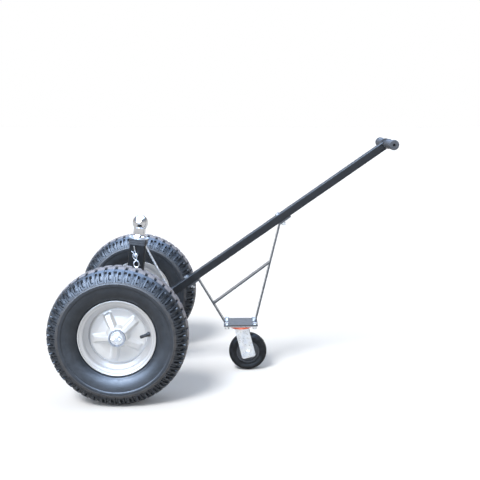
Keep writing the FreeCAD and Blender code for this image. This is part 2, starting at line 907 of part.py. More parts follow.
def plate_holes():
    half_x, half_y = cell("hole_x") / 2, cell("hole_y") / 2
    return [(half_x * i, half_y * j) for i in (-1, 1) for j in (-1, 1)]


def frame_fasteners():
    side, thick = cell("tongue_side"), cell("strap")
    bolts, nuts = [], []
    for x in (cell("rear_bolt"), cell("front_bolt")):
        low = -side / 2 - thick
        bolts.append(fuse(
            rod(4, side + thick + 12, x, 0, low - 12), hexagon(13, 5.5, x, 0, side / 2)
        ))
        nuts.append(cut(hexagon(13, 7, x, 0, low - 7), rod(4, 20, x, 0, low - 12)))
    keep("tongue_bolts", group(bolts), TONGUE)
    keep("tongue_nuts", group(nuts), TONGUE)
    top = cell("platform_top")
    under = top - cell("platform_wall") - cell("caster_plate_wall")
    bolts, nuts = [], []
    for x, y in plate_holes():
        bolts.append(fuse(
            rod(4, top - under + 9, x, y, under - 9), hexagon(13, 5.5, x, y, top)
        ))
        nuts.append(cut(hexagon(13, 7, x, y, under - 7), rod(4, 20, x, y, under - 12)))
    keep("platform_bolts", group(bolts), CASTER)
    keep("platform_nuts", group(nuts), CASTER)


# Caster ---------------------------------------------------------------------------------------


def caster_head():
    under = cell("platform_top") - cell("platform_wall") - cell("caster_plate_wall")
    wall, king = cell("caster_plate_wall"), cell("king_radius")
    length, width = cell("caster_plate_length"), cell("caster_plate_width")
    plate = fuse(
        box(length, width, wall, 0, 0, under),
        cut(rod(29, 1, 0, 0, under - 1), rod(19, 3, 0, 0, under - 2)),
    )
    holes = [rod(4.2, 30, x, y, under - 10) for x, y in plate_holes()]
    keep("caster_top_plate", cut(plate, rod(king, 40, 0, 0, under - 10), *holes), CASTER)
    top = cell("fork_top")
    wall = cell("fork_wall")
    head = under + cell("caster_plate_wall")
    pin = upright([(0, top - wall - 9), (king, top - wall - 9), (king, head), (0, head)])
    keep("king_pin", pin, CASTER)
    nut = cut(hexagon(19, 7, 0, 0, top - wall - 7.4), rod(king, 20, 0, 0, top - wall - 12))
    keep("king_nut", nut, CASTER)


def fork():
    top, wall, inner = cell("fork_top"), cell("fork_wall"), cell("fork_inner")
    trail, height, end = cell("caster_trail"), cell("caster_radius"), cell("fork_end")
    lean, half, corner = 14.3, cell("cheek_half"), 8.0

    def spot(across, down):
        return (trail + across * cosine(lean) + down * sine(lean),
                height + across * sine(lean) - down * cosine(lean))

    cheek_points = [
        (-20.5, top), (25.5, top),
        (*spot(half, end - corner), corner, 1), spot(half - corner, end),
        (*spot(corner - half, end), corner, 1), spot(-half, end - corner),
    ]
    pieces = [
        box(46, inner * 2 + wall * 2, wall, 2.5, 0, top - wall),
        rod(27, wall, 0, 0, top - wall),
    ]
    for sign in (-1, 1):
        cheek = holder(padded(cheek_points, wall))
        cheek.Placement = frame_at(0, (inner + wall / 2) * sign, 0)
        pieces.append(cheek)
    bores = [
        rod(cell("king_radius") + 0.05, 20, 0, 0, top - 12),
        cross_rod(cell("caster_axle"), -40, 40, trail, height),
    ]
    keep("caster_fork", cut(fuse(*pieces), *bores), CASTER)
    outer = cell("ring_radius")
    seal = upright([
        (28, top), (outer, top), (outer, top + 3.5), (outer - 3, top + 7), (31, top + 7),
        (31, top + 3), (28, top + 2),
    ])
    keep("dust_ring", seal, CASTER)
    balls = []
    for index in range(14):
        angle = 360.0 / 14 * index
        balls.append(ball(3.4, 24 * cosine(angle), 24 * sine(angle), top + 3.4))
    keep("swivel_balls", group(balls), CASTER)


def caster_axle():
    inner, wall = cell("fork_inner"), cell("fork_wall")
    trail, height, radius = cell("caster_trail"), cell("caster_radius"), cell("caster_axle")
    side = inner + wall
    bolt = fuse(
        cross_rod(radius, -side, side + 12, trail, height),
        hexagon(15, 6, trail, -side, height, X, 90),
    )
    keep("caster_axle_bolt", bolt, CASTER)
    nut = cut(
        hexagon(15, 8, trail, side + 8, height, X, 90),
        cross_rod(radius, 0, side + 20, trail, height),
    )
    keep("caster_axle_nut", nut, CASTER)
    bush = cut(
        cross_rod(cell("bush_radius"), -inner, inner, trail, height),
        cross_rod(radius, -inner - 1, inner + 1, trail, height),
    )
    keep("caster_bush", bush, CASTER)


def caster_wheel():
    radius, half = cell("caster_radius"), cell("caster_half")
    hub_r = 38
    spot = frame_at(cell("caster_trail"), 0, radius)
    frame = CASTER.multiply(spot)
    keep("caster_tyre", turned([
        (-half + 5, hub_r), (-half + 1, hub_r + 2), (-half, hub_r + 5), (-half, radius - 10, 9, 1),
        (-half + 8, radius - 1, 61, 1), (half - 8, radius - 1, 9, 1), (half, radius - 10),
        (half, hub_r + 5),
        (half - 1, hub_r + 2), (half - 5, hub_r),
    ]), frame)
    bore = cell("bush_radius") + 0.05
    keep("caster_hub", turned([
        (-half - 2, bore), (-half - 2, 14), (-half + 6, 16), (-half + 8, 31), (-half + 5, 33),
        (-half + 5, hub_r), (half - 5, hub_r), (half - 5, 33), (half - 8, 31), (half - 6, 16),
        (half + 2, 14), (half + 2, bore),
    ]), frame)


def check_and_write():
    doc.recompute()
    for thing in doc.Objects:
        if "Invalid" in thing.State or "Error" in thing.State:
            raise RuntimeError("%s: %s" % (thing.Name, thing.State))
    os.makedirs("parts", exist_ok=True)
    for thing in PARTS:
        shape = thing.Shape
        if shape.isNull() or not shape.isValid() or not shape.Solids:
            raise RuntimeError("bad shape: " + thing.Label)
        shape.exportStep("parts/%s.step" % thing.Label)


axle()
spindles()
axle_fasteners()
wheels()
mast()
collar()
gussets()
post()
hitch_pin()
clip()
tongue()
brace()
handle()
caster_frame()
frame_fasteners()
caster_head()
fork()
caster_axle()
caster_wheel()
check_and_write()
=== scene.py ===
"""Looks of the trailer dolly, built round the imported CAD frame.

Mesh outlines are in millimetres and are scaled by MM; materials, lights and camera are in metres.
"""
import json
import math

import bpy
import numpy as np
from mathutils import Euler, Matrix, Vector


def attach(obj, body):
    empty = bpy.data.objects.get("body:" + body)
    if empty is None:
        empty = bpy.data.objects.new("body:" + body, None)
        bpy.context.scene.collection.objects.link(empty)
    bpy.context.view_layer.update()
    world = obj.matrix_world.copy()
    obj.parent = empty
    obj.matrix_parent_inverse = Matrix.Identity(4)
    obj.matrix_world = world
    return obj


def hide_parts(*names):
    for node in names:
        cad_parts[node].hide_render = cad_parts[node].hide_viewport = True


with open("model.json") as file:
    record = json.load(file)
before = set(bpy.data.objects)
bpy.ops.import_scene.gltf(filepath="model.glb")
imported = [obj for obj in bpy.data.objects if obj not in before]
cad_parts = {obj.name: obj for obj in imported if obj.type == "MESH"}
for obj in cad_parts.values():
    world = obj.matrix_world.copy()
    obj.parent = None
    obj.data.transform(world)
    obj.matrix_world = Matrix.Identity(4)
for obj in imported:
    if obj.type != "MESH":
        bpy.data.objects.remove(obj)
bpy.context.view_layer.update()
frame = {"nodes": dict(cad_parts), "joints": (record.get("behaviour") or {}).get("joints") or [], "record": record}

MM = 0.001
NODES = frame["nodes"]
JOINTS = {joint["name"]: joint for joint in frame["joints"]}
SIDES = ("right", "left")
TAU = 2 * math.pi


# ---------------------------------------------------------------- mesh helpers

def add_object(name, vertices, faces, matrix, sharp=35.0):
    """A smooth shaded mesh object; edges steeper than `sharp` degrees stay crisp."""
    mesh = bpy.data.meshes.new(name)
    mesh.from_pydata([tuple(v) for v in np.asarray(vertices) * MM], [], faces)
    mesh.validate()
    mesh.shade_smooth()
    mesh.set_sharp_from_angle(angle=math.radians(sharp))
    thing = bpy.data.objects.new(name, mesh)
    bpy.context.scene.collection.objects.link(thing)
    thing.matrix_world = matrix
    return thing


def grid_faces(rows, columns, close_rows, close_columns, start=0):
    """Quads of a grid whose vertex (i, j) has the number start + i * columns + j."""
    faces = []
    for i in range(rows if close_rows else rows - 1):
        a, b = start + i * columns, start + (i + 1) % rows * columns
        for j in range(columns if close_columns else columns - 1):
            k = (j + 1) % columns
            faces.append((a + j, a + k, b + k, b + j))
    return faces


def around(profile, angles):
    """Vertices of a profile of (y, radius) turned about Y, one row per angle."""
    profile = np.asarray(profile, float)
    y = np.broadcast_to(profile[:, 0], (len(angles), len(profile)))
    x = np.cos(angles)[:, None] * profile[:, 1]
    z = np.sin(angles)[:, None] * profile[:, 1]
    return np.stack([x, y, z], -1)


def lathe(name, profile, matrix, steps=144, sharp=35.0):
    """A closed profile of (y, radius) turned about the local Y axis."""
    angles = np.arange(steps) * TAU / steps
    points = around(profile, angles)
    faces = grid_faces(steps, len(profile), True, True)
    return add_object(name, points.reshape(-1, 3), faces, matrix, sharp)


def arc(centre, radius, start, end, count):
    """Points (y, radius) on an arc; angles in degrees from +y toward +radius."""
    angles = np.radians(np.linspace(start, end, count))
    return [(centre[0] + radius * math.cos(a), centre[1] + radius * math.sin(a)) for a in angles]


def spline(points, count):
    """A smooth line of `count` points through (y, radius) points."""
    points = np.asarray(points, float)
    gaps = np.hypot(*np.diff(points, axis=0).T)
    along = np.concatenate([[0], np.cumsum(gaps)])
    padded = np.vstack([2 * points[0] - points[1], points, 2 * points[-1] - points[-2]])
    out = []
    for s in np.linspace(0, along[-1], count):
        i = min(int(np.searchsorted(along, s, side="right")) - 1, len(points) - 2)
        t = (s - along[i]) / (along[i + 1] - along[i])
        a, b, c, d = padded[i:i + 4]
        out.append(0.5 * (2 * b + (c - a) * t + (2 * a - 5 * b + 4 * c - d) * t ** 2
                          + (3 * b - a - 3 * c + d) * t ** 3))
    return [tuple(p) for p in out]


def smoothstep(low, high, value):
    t = np.clip((value - low) / (high - low), 0, 1)
    return t * t * (3 - 2 * t)


# ---------------------------------------------------------------- materials

class Shader:
    """A Principled material with the few procedural blocks that the surfaces share.

    The colour and roughness it starts with are the plain ones, for a use that drops the patterns.
    """

    def __init__(self, name, color, roughness, metallic=0.0, **sockets):
        self.material = bpy.data.materials.new(name)
        self.material.use_nodes = True
        self.tree = self.material.node_tree
        self.bsdf = self.tree.nodes["Principled BSDF"]
        self.put("Base Color", (*color, 1))
        self.put("Roughness", roughness)
        self.put("Metallic", metallic)
        for socket, value in sockets.items():
            self.put(socket.replace("_", " "), value)
        self.place = self.node("ShaderNodeTexCoord").outputs["Object"]

    def node(self, kind, **inputs):
        node = self.tree.nodes.new(kind)
        for socket, value in inputs.items():
            self.feed(node.inputs[socket.replace("_", " ")], value)
        return node

    def feed(self, socket, value):
        if isinstance(value, bpy.types.NodeSocket):
            self.tree.links.new(value, socket)
        else:
            socket.default_value = value

    def put(self, socket, value):
        self.feed(self.bsdf.inputs[socket], value)

    def noise(self, scale, detail=2.0, roughness=0.5, stretch=None):
        """Noise in the object's own space; `stretch` scales each axis first."""
        where = self.place
        if stretch:
            where = self.node("ShaderNodeMapping", Vector=where, Scale=stretch).outputs[0]
        node = self.node("ShaderNodeTexNoise", Vector=where, Scale=scale, Detail=detail, Roughness=roughness)
        return node.outputs["Fac"]

    def span(self, value, low, high, to_low=0.0, to_high=1.0):
        """Maps low..high to to_low..to_high, clamped."""
        node = self.tree.nodes.new("ShaderNodeMapRange")
        for name, number in (("Value", value), ("From Min", low), ("From Max", high),
                             ("To Min", to_low), ("To Max", to_high)):
            self.feed(node.inputs[name], number)
        return node.outputs["Result"]

    def math(self, operation, a, b=0.0):
        node = self.tree.nodes.new("ShaderNodeMath")
        node.operation = operation
        self.feed(node.inputs[0], a)
        self.feed(node.inputs[1], b)
        return node.outputs[0]

    def mix(self, share, a, b):
        """Colour a where share is 0, colour b where it is 1."""
        node = self.tree.nodes.new("ShaderNodeMix")
        node.data_type = "RGBA"
        self.feed(node.inputs["Factor"], share)
        self.feed(node.inputs["A"], a if isinstance(a, bpy.types.NodeSocket) else (*a, 1))
        self.feed(node.inputs["B"], b if isinstance(b, bpy.types.NodeSocket) else (*b, 1))
        return node.outputs["Result"]

    def bump(self, height, depth, under=None, strength=1.0):
        """Adds a bump of `depth` metres on top of an earlier one."""
        node = self.node("ShaderNodeBump", Height=height, Distance=depth, Strength=strength)
        if under:
            self.feed(node.inputs["Normal"], under)
        self.put("Normal", node.outputs["Normal"])
        return node.outputs["Normal"]

    def distance_from_axis(self):
        """Distance from the object's own Y axis."""
        node = self.node("ShaderNodeSeparateXYZ", Vector=self.place)
        x, z = node.outputs["X"], node.outputs["Z"]
        return self.math("SQRT", self.math("ADD", self.math("MULTIPLY", x, x), self.math("MULTIPLY", z, z)))


def black_paint(name, dark, light, specular, coat):
    """Black paint with orange peel; the coat's share sets how much of the sky it shows."""
    s = Shader(name, dark, 0.5, Specular_IOR_Level=specular, Coat_Weight=coat)
    patches, peel = s.noise(14, 4), s.noise(420, 1)
    s.put("Base Color", s.mix(s.span(patches, 0.35, 0.7), dark, light))
    s.put("Roughness", s.span(s.noise(60, 3), 0.3, 0.7, 0.42, 0.55))
    s.put("Coat Roughness", s.span(patches, 0.3, 0.7, 0.10, 0.20))
    s.bump(peel, 0.00008)
    return s


def bright_zinc():
    s = Shader("bright_zinc", (0.78, 0.79, 0.80), 0.3, 1.0)
    tint = s.mix(s.span(s.noise(45, 3), 0.35, 0.65), (0.50, 0.51, 0.53), (0.62, 0.61, 0.58))
    s.put("Base Color", tint)
    s.put("Roughness", s.span(s.noise(160, 4), 0.3, 0.7, 0.22, 0.38))
    s.bump(s.noise(900, 2), 0.00003)
    return s


def plain_steel():
    s = Shader("plain_steel", (0.45, 0.45, 0.46), 0.42, 1.0)
    lines = s.noise(30, 3, 0.6, stretch=(30, 30, 1))
    s.put("Base Color", s.mix(s.span(lines, 0.3, 0.7), (0.31, 0.31, 0.315), (0.45, 0.445, 0.44)))
    s.put("Roughness", s.span(lines, 0.3, 0.7, 0.32, 0.52))
    s.bump(lines, 0.00003)
    return s


def hub_steel():
    """Darkened steel of the hub, a painted shade in its mouth, so that the bright washer and nut stand out."""
    s = Shader("hub_steel", (0.2, 0.2, 0.2), 0.5, 0.9, Specular_IOR_Level=0.2)
    dark_patches = s.noise(90, 4)
    # random patches between two dark tones; the dark tone as a whole is painted shade
    s.put("Base Color", s.mix(s.span(dark_patches, 0.35, 0.7), (0.24, 0.24, 0.245), (0.15, 0.148, 0.145)))
    s.put("Roughness", s.span(dark_patches, 0.3, 0.7, 0.40, 0.60))
    s.bump(s.noise(300, 2), 0.00004)
    return s


def bearing_steel():
    s = Shader("bearing_steel", (0.62, 0.62, 0.64), 0.16, 1.0)
    film = s.noise(80, 3)
    s.put("Base Color", s.mix(s.span(film, 0.35, 0.7), (0.66, 0.66, 0.68), (0.48, 0.46, 0.42)))
    s.put("Roughness", s.span(film, 0.3, 0.7, 0.1, 0.26))
    return s


def chrome():
    s = Shader("chrome", (0.86, 0.87, 0.89), 0.06, 1.0)
    s.put("Roughness", s.span(s.noise(35, 4), 0.35, 0.75, 0.04, 0.14))
    # the chrome's colour is darkened to about half its plain brightness: a painted reflection of the dark tyres
    # and tubes round the neck
    s.put("Base Color", s.mix(s.span(s.noise(20, 2), 0.4, 0.7), (0.50, 0.495, 0.495), (0.41, 0.405, 0.405)))
    return s


def tyre_rubber():
    """Black rubber with a dusty ring on the sidewall and a worn, paler crown."""
    s = Shader("tyre_rubber", (0.015, 0.017, 0.020), 0.45, Specular_IOR_Level=0.3)
    radius, patches = s.distance_from_axis(), s.noise(55, 4)
    clouds = s.span(s.noise(16, 6, 0.65), 0.35, 0.68)
    rubber = s.mix(clouds, (0.009, 0.011, 0.014), (0.023, 0.026, 0.031))
    ring = s.math("MULTIPLY", s.span(radius, 0.1655, 0.1675), s.span(radius, 0.1745, 0.1760, 1.0, 0.0))
    dust = s.math("MULTIPLY", ring, s.span(patches, 0.3, 0.6, 0.3, 1.0))
    dusty = s.mix(dust, rubber, (0.050, 0.047, 0.046))
    worn = s.math("MULTIPLY", s.span(radius, 0.2050, 0.2064), s.span(patches, 0.25, 0.6, 0.6, 1.0))
    s.put("Base Color", s.mix(worn, dusty, (0.215, 0.190, 0.182)))
    s.put("Roughness", s.span(s.math("ADD", s.noise(120, 3), worn), 0.3, 1.4, 0.36, 0.80))
    fine = s.bump(s.noise(700, 2), 0.00008)
    s.bump(s.noise(90, 2), 0.0002, fine)
    return s


def caster_rubber():
    s = Shader("caster_rubber", (0.015, 0.015, 0.016), 0.5, Specular_IOR_Level=0.15)
    dust = s.span(s.noise(70, 4), 0.45, 0.75)
    s.put("Base Color", s.mix(dust, (0.006, 0.006, 0.0065), (0.015, 0.015, 0.0155)))
    s.put("Roughness", s.span(dust, 0, 1, 0.38, 0.6))
    s.bump(s.noise(500, 2), 0.00006)
    return s


def silver_paint():
    """Silver of the wheel discs, with fine flakes."""
    s = Shader("silver_paint", (0.62, 0.62, 0.61), 0.36, 0.05,
               Specular_IOR_Level=0.25, Coat_Weight=0.05, Coat_Roughness=0.2)
    flakes = s.noise(1500, 1)
    cloud = s.mix(s.span(s.noise(18, 3), 0.35, 0.7), (0.59, 0.59, 0.585), (0.65, 0.65, 0.64))
    s.put("Base Color", s.mix(s.span(flakes, 0.35, 0.65, 0, 0.45), cloud, (0.49, 0.49, 0.49)))
    s.put("Roughness", s.span(s.noise(260, 3), 0.3, 0.7, 0.32, 0.48))
    s.bump(s.noise(380, 2), 0.00006)
    return s


def rim_paint():
    """The silver of the rim, with painted shade making its drop centre a little darker than its lip."""
    s = Shader("rim_paint", (0.5, 0.5, 0.5), 0.36, 0.08,
               Specular_IOR_Level=0.25, Coat_Weight=0.1, Coat_Roughness=0.2)
    radius = s.distance_from_axis()
    turned = s.noise(1.0, 2, 0.5, stretch=(0, 900, 0))
    # the drop centre's darker tone is painted shade, a painted reflection of the dark ground; the turning lines
    # are real
    shaded_bowl = s.mix(s.span(turned, 0.35, 0.65), (0.39, 0.39, 0.395), (0.48, 0.48, 0.485))
    lip = s.span(radius, 0.1075, 0.1105)
    s.put("Base Color", s.mix(lip, shaded_bowl, (0.50, 0.50, 0.495)))
    s.put("Roughness", s.span(s.noise(260, 3), 0.3, 0.7, 0.28, 0.44))
    s.bump(s.noise(380, 2), 0.00006)
    return s


def molded(name, dark, light, rough, grain=600, depth=0.00008, specular=0.5):
    """Moulded rubber or plastic with a fine grain and slight colour clouds."""
    s = Shader(name, dark, sum(rough) / 2, Specular_IOR_Level=specular)
    s.put("Base Color", s.mix(s.span(s.noise(40, 4), 0.35, 0.7), dark, light))
    s.put("Roughness", s.span(s.noise(140, 3), 0.3, 0.7, *rough))
    s.bump(s.noise(grain, 2), depth)
    return s


def make_materials():
    """Every material by name: one for each slot of the record, and four more for some of its nodes."""
    made = {
        "black_paint": black_paint("black_paint", (0.009, 0.0095, 0.010), (0.016, 0.0165, 0.018),
                                   specular=0.1, coat=0.14),
        # the same black paint with a lighter base colour: painted sky reflection for the platform, legs and
        # crossbar
        "sky_lit_frame_paint": black_paint("sky_lit_frame_paint", (0.018, 0.0185, 0.020), (0.030, 0.0305, 0.033),
                                   specular=0.35, coat=0.75),
        "bright_zinc": bright_zinc(),
        "plain_steel": plain_steel(),
        "hub_steel": hub_steel(),
        "bearing_steel": bearing_steel(),
        "chrome": chrome(),
        "tyre_rubber": tyre_rubber(),
        "caster_rubber": caster_rubber(),
        "silver_paint": silver_paint(),
        "rim_paint": rim_paint(),
        "stem_rubber": molded("stem_rubber", (0.014, 0.014, 0.015), (0.026, 0.026, 0.027), (0.36, 0.5)),
        "grip_rubber": molded("grip_rubber", (0.036, 0.035, 0.036), (0.056, 0.055, 0.056), (0.55, 0.75),
                              grain=350, depth=0.00025, specular=0.25),
        "black_plastic": molded("black_plastic", (0.017, 0.017, 0.019), (0.030, 0.030, 0.032), (0.34, 0.5)),
        "orange_plastic": molded("orange_plastic", (0.75, 0.085, 0.018), (0.85, 0.14, 0.03), (0.35, 0.5)),
    }
    return {name: shader.material for name, shader in made.items()}


MATERIALS = make_materials()
LOOK_OF = {part["node"]: part["material_slot"] for part in frame["record"]["subparts"]}
# the hubs take the darkened hub_steel: painted shade in their mouths
LOOK_OF.update(dict.fromkeys(("hub_left", "hub_right"), "hub_steel"))
# the platform, legs and crossbar take the lighter copy of the black paint, whose base colour is painted sky
# reflection
LOOK_OF.update(dict.fromkeys(("platform", "leg_rear", "leg_front", "caster_crossbar"), "sky_lit_frame_paint"))


def dress(thing, name):
    """Gives an object one of the materials in every slot."""
    slots = thing.data.materials
    if not len(slots):
        slots.append(MATERIALS[name])
    for i in range(len(slots)):
        slots[i] = MATERIALS[name]


def stand_for(piece, body, slot, *nodes, material=None):
    """The piece takes the place of CAD nodes of one material slot."""
    dress(piece, material or slot)
    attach(piece, body)
    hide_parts(*nodes)


# ---------------------------------------------------------------- tyres

LUGS = 44
TYRE_R, CROWN_ARC = 208.5, 136.62
LUG_ROOT = 174.0                       # radius where the lugs rise out of the sidewall
SHOULDER, SHOULDER_ARC = (16.68, 164.43), 42.7
LUG_START_TURN = math.radians(-1.1)    # turns the first slot a little from the wheel's own X axis
STATIONS = (0, 3.1, 3.7, 4.3, 6.1, 6.7, 12.6, 13.4, 17.0, 20.4, 21.2, 24.9, 25.6, 26.3, 28.3, 28.9)
PITCH = 30.0                           # length that the stations divide, per lug
SLOT_HALF = 3.7                        # half the width of the slot between two lugs
NUB_PLACE = 9.7                        # place of the moulding nub within a pitch
NUB_OUT, NUB_SIDE = 0.573, 0.819       # direction of the shoulder's surface where the nubs stand


def inside(value, low, high):
    return (value >= low - 1e-6) & (value <= high + 1e-6)


def side_line():
    """(y, r, zone) from the bead to the tread edge, y positive.  Zone 0 plain, 1 lug side."""
    plain = [(29.0, 101.6), (31.0, 102.6), (31.9, 105.5), (32.4, 110.0), (33.2, 114.0)]
    plain += [(35.4, 116.8), (38.6, 118.4), (40.4, 118.9), (41.3, 120.2), (43.2, 121.3)]
    belly = [(43.2, 121.3), (48.6, 127.0), (52.6, 134.5), (55.2, 143.0), (56.8, 152.0), (57.4, 157.0)]
    plain += spline(belly, 11)[1:]
    plain += [(58.5, 158.3), (59.2, 161.0), (59.5, 164.0), (59.3, 167.0), (59.5, 167.6), (59.4, 169.4)]
    plain += [(58.7, 170.4), (58.6, 172.0)]
    lugs = arc(SHOULDER, SHOULDER_ARC, 12.9, 74.6, 18)
    return [(y, r, 0) for y, r in plain] + [(y, r, 1) for y, r in lugs]


def crown_line():
    """(y, r, zone 2) over the tread, from the shoulder edge to the middle."""
    stops = (25.9, 25.3, 20.0, 13.0, 7.2, 6.5, 3.5, 2.8)
    return [(y, TYRE_R - CROWN_ARC + math.sqrt(CROWN_ARC ** 2 - y * y), 2) for y in stops]


def in_slot(across):
    return inside(across, 0, SLOT_HALF) | inside(across, PITCH - SLOT_HALF, PITCH)


def lug_depth(across, radius):
    """Depth under the lug's side face: groove and pit between lugs, thin line, and a framed recess."""
    depth = np.zeros_like(across)
    slot = in_slot(across)
    depth[slot] = 0.7
    depth[inside(across, 26.3, 28.3)] = 4.2
    depth[inside(across, 4.3, 6.1) & (radius < 202.5)] = 2.2
    framed = inside(across, 12.6, 21.2) & (radius > 179.5) & (radius < 201.0)
    depth[framed] = -0.5
    middle = inside(across, 17.0, 17.0) & (radius > 181.0) & (radius < 199.5)
    depth[middle | (inside(across, 13.4, 20.4) & (radius > 182.5) & (radius < 198.0))] = 6.5
    depth[slot & (radius > 190.0) & (radius < 202.0)] = 7.5
    depth[slot & (radius > 202.0)] = 2.0
    return depth * smoothstep(LUG_ROOT - 0.6, LUG_ROOT + 2.4, radius)


def crown_depth(across, y):
    """Depth under the tread: slots from each shoulder to a narrow groove beside the middle rib."""
    depth = np.zeros_like(across)
    depth[in_slot(across)] = 2.0
    depth[in_slot(across) & (np.abs(y) < 25.5)] = 8.0
    depth[inside(np.abs(y), 3.5, 6.5)] = 5.0
    depth[np.abs(y) < 3.4] = 0.0
    return depth


def tyre_inside():
    """The air side of the tyre, from +y to -y."""
    half = [(24.0, 103.5), (33.0, 116.0), (44.0, 131.0), (49.5, 150.0), (49.5, 168.0)]
    half += [(43.0, 184.0), (29.0, 195.0)]
    return half + [(0.0, 198.0)] + [(-y, r) for y, r in reversed(half)]


def nubs(count_from):
    """Small moulding nubs, one to a lug on each shoulder, as closed domes; returns vertices and faces."""
    points, faces = [], []
    ring, radius, height = 8, 1.25, 1.5
    for side in (-1, 1):
        for lug in range(LUGS):
            turn = LUG_START_TURN + (lug + NUB_PLACE / PITCH + (0.5 if side > 0 else 0)) * TAU / LUGS
            out = np.array([math.cos(turn), 0, math.sin(turn)])
            tangent = np.array([-math.sin(turn), 0, math.cos(turn)])
            normal = np.array([NUB_OUT * out[0], side * NUB_SIDE, NUB_OUT * out[2]])
            up = np.cross(normal, tangent)
            base = out * (SHOULDER[1] + SHOULDER_ARC * NUB_OUT)
            base += np.array([0, side * (SHOULDER[0] + SHOULDER_ARC * NUB_SIDE), 0])
            start = count_from + len(points)
            for level, share in ((-0.6, 1.0), (0.5, 0.95), (0.9, 0.6)):
                for k in range(ring):
                    a = k * TAU / ring
                    spread = radius * share * (math.cos(a) * tangent + math.sin(a) * up)
                    points.append(base + spread + normal * height * level)
            points.append(base + normal * height)
            points.append(base - normal * height * 0.6)
            faces += grid_faces(3, ring, False, True, start)
            top, bottom = start + 3 * ring, start + 3 * ring + 1
            for k in range(ring):
                n = (k + 1) % ring
                faces.append((start + 2 * ring + k, start + 2 * ring + n, top))
                faces.append((start + n, start + k, bottom))
    return points, faces


def tyre(side, matrix):
    """The tyre's skin as a grid of lug stations by profile points, pushed in where the tread is cut."""
    half = side_line() + crown_line()
    outside = [(-y, r, zone) for y, r, zone in half] + [(0.0, TYRE_R, 2)]
    outside += [(y, r, zone) for y, r, zone in reversed(half)]
    line = np.array(outside)
    y, r, zone = line.T
    tangent = np.gradient(line[:, :2], axis=0)
    tangent /= np.hypot(*tangent.T)[:, None]
    inward = np.stack([tangent[:, 1], -tangent[:, 0]], -1)
    stations = np.array(STATIONS)
    across = np.tile(stations, LUGS)
    turn = LUG_START_TURN + (np.repeat(np.arange(LUGS), len(stations)) + across / PITCH) * TAU / LUGS
    grid_across = np.broadcast_to(across[:, None], (len(across), len(y)))
    # the blocks of the second side sit half a pitch on
    shift = smoothstep(-3.4, 3.4, y) * 0.5 * TAU / LUGS
    grid_turn = turn[:, None] + shift[None, :]
    grid_r = np.broadcast_to(r, grid_across.shape)
    grid_y = np.broadcast_to(y, grid_across.shape)
    depth = np.where(zone == 1, lug_depth(grid_across, grid_r), 0.0)
    depth = np.where(zone == 2, crown_depth(grid_across, grid_y), depth)
    py = grid_y + inward[:, 0] * depth
    pr = grid_r + inward[:, 1] * depth
    outer = np.stack([np.cos(grid_turn) * pr, py, np.sin(grid_turn) * pr], -1)
    inner_line = np.array(tyre_inside())
    inner_turn = turn[:, None] + (smoothstep(-30, 30, inner_line[:, 0]) * 0.5 * TAU / LUGS)[None, :]
    inner = np.stack([np.cos(inner_turn) * inner_line[:, 1],
                      np.broadcast_to(inner_line[:, 0], inner_turn.shape),
                      np.sin(inner_turn) * inner_line[:, 1]], -1)
    points = np.concatenate([outer, inner], 1)
    rows, columns = points.shape[:2]
    faces = grid_faces(rows, columns, True, True)
    points = points.reshape(-1, 3)
    nub_points, nub_faces = nubs(len(points))
    points = np.vstack([points, nub_points])
    piece = add_object("tyre_skin_" + side, points, faces + nub_faces, matrix, 32)
    stand_for(piece, side + "_wheel", "tyre_rubber", "tyre_" + side)


# ---------------------------------------------------------------- rims and discs

def rim(side, matrix):
    """Drop centre rim with a rolled lip, as one closed profile."""
    face = arc((-36.2, 112.7), 2.2, 60, 290, 9)
    face += [(-34.9, 109.4), (-34.3, 106.0), (-33.4, 102.6), (-31.6, 100.0), (-29.0, 98.9)]
    face += [(-28.0, 98.7), (-27.6, 98.2), (-24.2, 98.0), (-22.6, 97.2), (-21.0, 95.8)]
    face += [(-13.6, 88.4), (-12.2, 87.2), (-10.6, 86.6), (0.0, 86.5)]
    back = [(0.0, 89.0), (-11.0, 89.0), (-12.6, 90.4), (-21.6, 99.6), (-23.0, 100.9), (-30.0, 100.95)]
    back += [(-31.6, 101.8), (-32.2, 104.0), (-33.2, 111.0)]
    profile = face + [(-y, r) for y, r in reversed(face[:-1])]
    profile += [(-y, r) for y, r in reversed(back)] + back[1:]
    piece = lathe("rim_shell_" + side, profile, matrix, 180, 30)
    stand_for(piece, side + "_wheel", "silver_paint", "rim_" + side, material="rim_paint")


SPOKES = 5
SPOKE_TURN = math.radians(43.0)
DISC_RINGS, DISC_STEPS = 70, 580
SHEET = 3.0                            # thickness of the pressed sheet
FLANGE_END = 1.8                       # y where the disc's flange ends behind it


def disc_height(x, z):
    """How far the pressed disc stands out (toward -y) at a point."""
    radius = np.hypot(x, z)
    base = np.interp(radius, [24, 60, 80.5, 83.5, 86.4], [14.0, 6.2, 4.6, 2.6, 1.6])
    boss = smoothstep(38.0, 27.0, radius) * (27.5 - base)
    raised = np.zeros_like(radius)
    for k in range(SPOKES):
        a = SPOKE_TURN + k * TAU / SPOKES
        along = x * math.cos(a) + z * math.sin(a)
        across = np.abs(-x * math.sin(a) + z * math.cos(a))
        top = np.interp(along, [25, 40, 62, 76], [29.5, 24.0, 15.5, 8.8]) - base
        half = np.interp(along, [25, 78], [10.4, 11.0])
        wall = smoothstep(half + 4.8, half - 5.2, across)
        end = smoothstep(80.5, 69.0, along) * smoothstep(10, 20, along)
        raised = np.maximum(raised, np.maximum(top, 0) * wall * end)
    return base + np.maximum(boss, raised)


